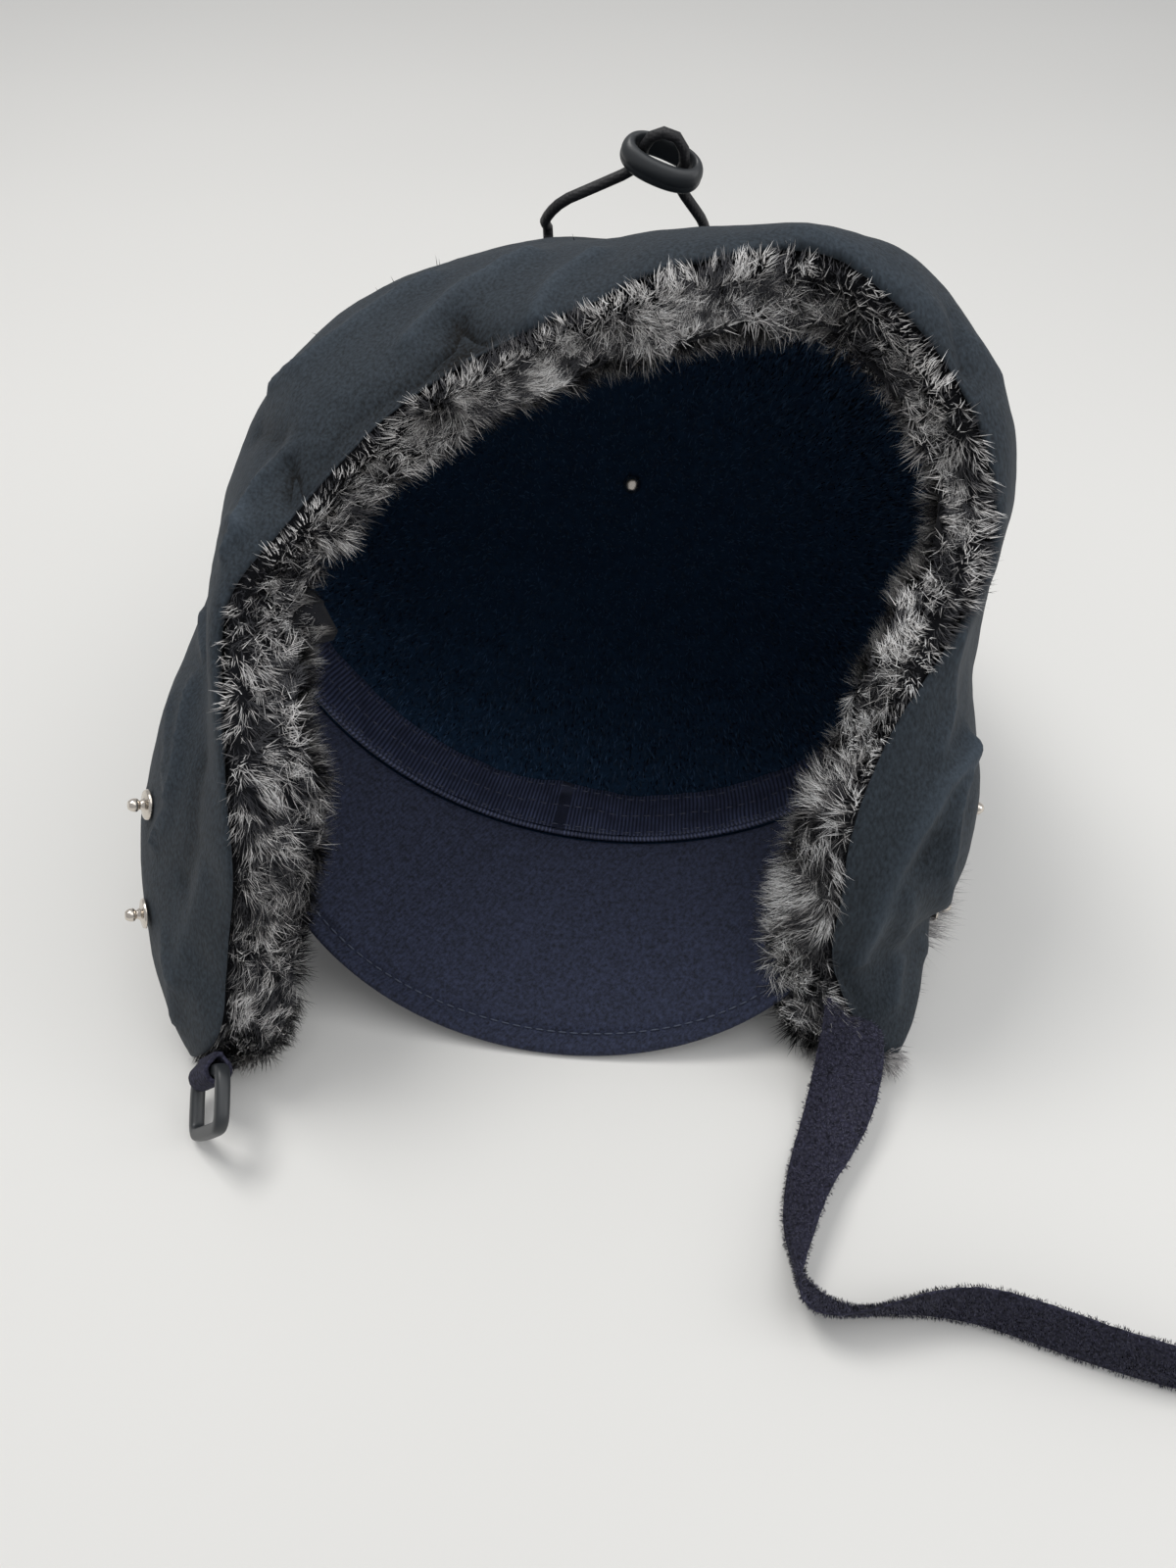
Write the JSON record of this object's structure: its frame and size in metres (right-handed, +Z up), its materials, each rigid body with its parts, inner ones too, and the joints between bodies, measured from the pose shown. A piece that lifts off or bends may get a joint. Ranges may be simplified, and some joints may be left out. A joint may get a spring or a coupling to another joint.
{
  "type": "earflap cap",
  "caption": "Padded winter cap with a stiff peak, a wrap-round ear and neck flap lined with long pile, a webbing chin strap and a drawcord at the back.",
  "frame": {"origin": "middle of the cap's outline on the surface that it lies on, measured without the drawcord", "axes": "+Z up; the cap lies on the front of its crown and the tip of its peak, the opening turned up and towards -Y; +X is the wearer's right"},
  "size_m": [0.285, 0.3168, 0.2009],
  "materials": {
    "shell_fabric": "matt smooth woven",
    "lining_pile": "short dark pile",
    "band_ribbon": "ribbed ribbon",
    "peak_twill": "matt twill",
    "long_pile": "long pile, dark at the roots",
    "stud_metal": "polished pale metal",
    "ring_plastic": "satin moulded",
    "strap_webbing": "brushed loop webbing",
    "elastic_cord": "braided"
  },
  "bodies": {
    "root": {"crown_shell": "shell_fabric", "crown_button": "shell_fabric", "button_rivet": "stud_metal", "crown_lining": "lining_pile", "sweatband": "band_ribbon", "peak": "peak_twill", "peak_piping": "band_ribbon", "flap_shell": "shell_fabric", "flap_fur": "long_pile", "stud_left_upper": "stud_metal", "stud_left_lower": "stud_metal", "stud_right_upper": "stud_metal", "stud_right_lower": "stud_metal", "slider_ring": "ring_plastic", "ring_tab": "strap_webbing", "chin_strap": "strap_webbing", "cord_lock": "ring_plastic", "drawcord": "elastic_cord"}
  },
  "joints": []
}
